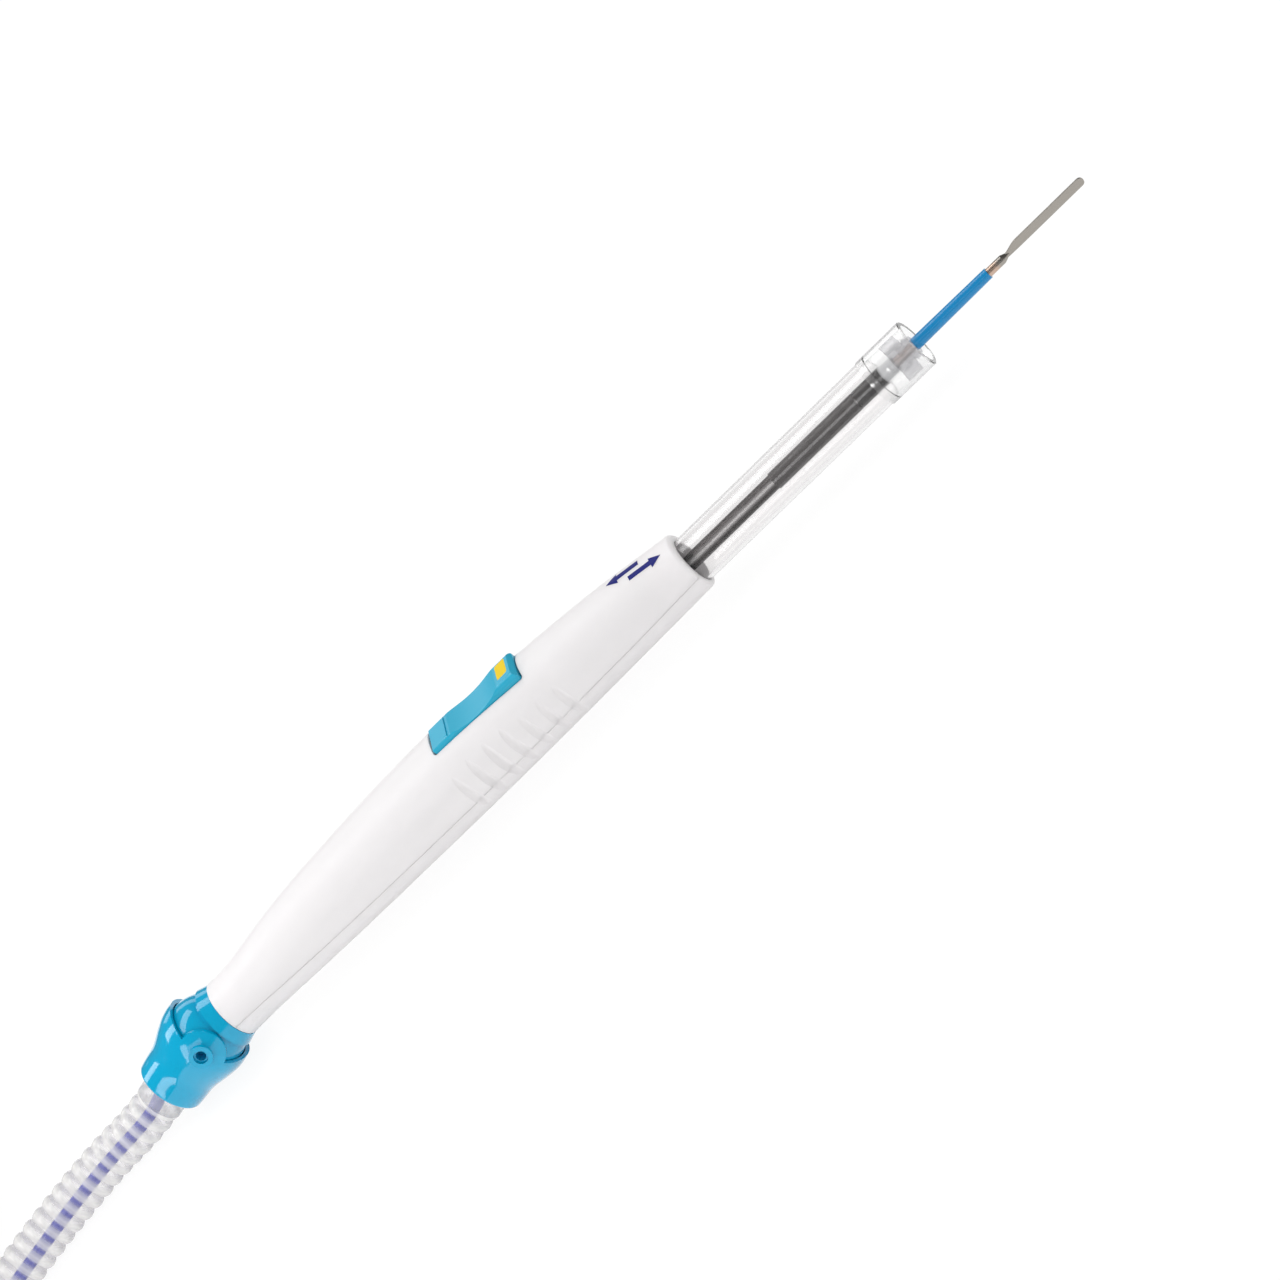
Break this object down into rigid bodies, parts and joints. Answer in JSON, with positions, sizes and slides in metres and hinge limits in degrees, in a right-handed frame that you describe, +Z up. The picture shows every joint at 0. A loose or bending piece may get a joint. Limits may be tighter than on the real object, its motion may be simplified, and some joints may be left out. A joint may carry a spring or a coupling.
{
  "type": "electrosurgical pencil",
  "caption": "Hand-held electrosurgical pencil with a telescopic clear smoke nozzle, rocker switch, blade electrode, ball swivel, smoke hose folded to a hank, and a pin plug.",
  "frame": {"origin": "on the table, under the middle of the pencil from the swivel bell's rear rim to the electrode's tip, on the pencil's axis plane", "axes": "+X along the pencil to the electrode's tip, +Z up to the rocker's side"},
  "size_m": [0.7378, 0.1015, 0.0833],
  "materials": {
    "white_abs": "glossy white",
    "turquoise_plastic": "glossy turquoise",
    "yellow_plastic": "satin yellow",
    "clear_plastic": "clear",
    "black_rubber": "matte black",
    "pale_silicone": "pale silicone",
    "bright_steel": "bright steel",
    "dark_insulation": "satin dark grey",
    "pale_plastic": "pale, translucent",
    "grey_plastic": "smoke-grey, translucent",
    "blue_insulation": "glossy blue",
    "blade_steel": "satin stainless steel",
    "board_green": "green circuit board",
    "spring_brass": "spring brass",
    "cable_jacket": "satin violet-blue",
    "cyan_plastic": "glossy cyan",
    "clear_hose": "clear corrugated film",
    "tie_band": "pale band",
    "adapter_plastic": "pale plastic",
    "plug_plastic": "blue plastic"
  },
  "bodies": {
    "handle": {"handle_upper_shell": "white_abs", "handle_lower_shell": "white_abs", "nozzle_seal": "pale_silicone", "switch_tray": "white_abs", "switch_board": "board_green", "cut_dome": "bright_steel", "coag_dome": "bright_steel", "contact_clip": "spring_brass", "internal_leads": "cable_jacket", "handle_cable": "cable_jacket", "cable_clamp": "white_abs"},
    "nozzle": {"nozzle_tube": "clear_plastic", "nozzle_tip": "clear_plastic", "contact_rod": "bright_steel", "rod_sleeve": "dark_insulation", "electrode_socket": "dark_insulation", "socket_collar": "pale_plastic", "tip_spider": "grey_plastic"},
    "electrode": {"electrode_blade": "blade_steel", "electrode_sleeve": "blue_insulation"},
    "switch": {"rocker": "turquoise_plastic", "rocker_inlay": "yellow_plastic"},
    "knuckle": {"swivel_knuckle": "cyan_plastic", "knuckle_seal": "pale_silicone"},
    "bell": {"swivel_bell": "cyan_plastic", "hose_cuff": "clear_hose", "smoke_hose": "clear_hose", "smoke_hose_hank": "clear_hose", "smoke_hose_end": "clear_hose", "hank_ties": "tie_band", "hose_adapter": "adapter_plastic", "cable_grommet": "black_rubber", "cable_tail": "cable_jacket", "plug_relief": "plug_plastic", "plug_body": "plug_plastic", "plug_pins": "bright_steel"}
  },
  "joints": [
    {"name": "nozzle_slide", "type": "slide", "parent": "handle", "child": "nozzle", "axis": [1, 0, 0], "range_m": [-0.06, 0]},
    {"name": "electrode_pull", "type": "slide", "parent": "nozzle", "child": "electrode", "axis": [1, 0, 0], "range_m": [0, 0.02]},
    {"name": "rocker_tilt", "type": "hinge", "parent": "handle", "child": "switch", "pos_m": [-0.03058, 0, 0.02368], "axis": [0, 1, 0], "range_deg": [-4, 4], "stiffness_Nm_per_rad": 0.34},
    {"name": "swivel_spin", "type": "hinge", "parent": "handle", "child": "knuckle", "pos_m": [-0.15032, 0, 0.01228], "axis": [1, 0, 0], "continuous": true},
    {"name": "swivel_tilt", "type": "hinge", "parent": "knuckle", "child": "bell", "pos_m": [-0.15032, 0, 0.01228], "axis": [0, -0.9703, 0.2419], "range_deg": [-28.5, 7.5]}
  ]
}
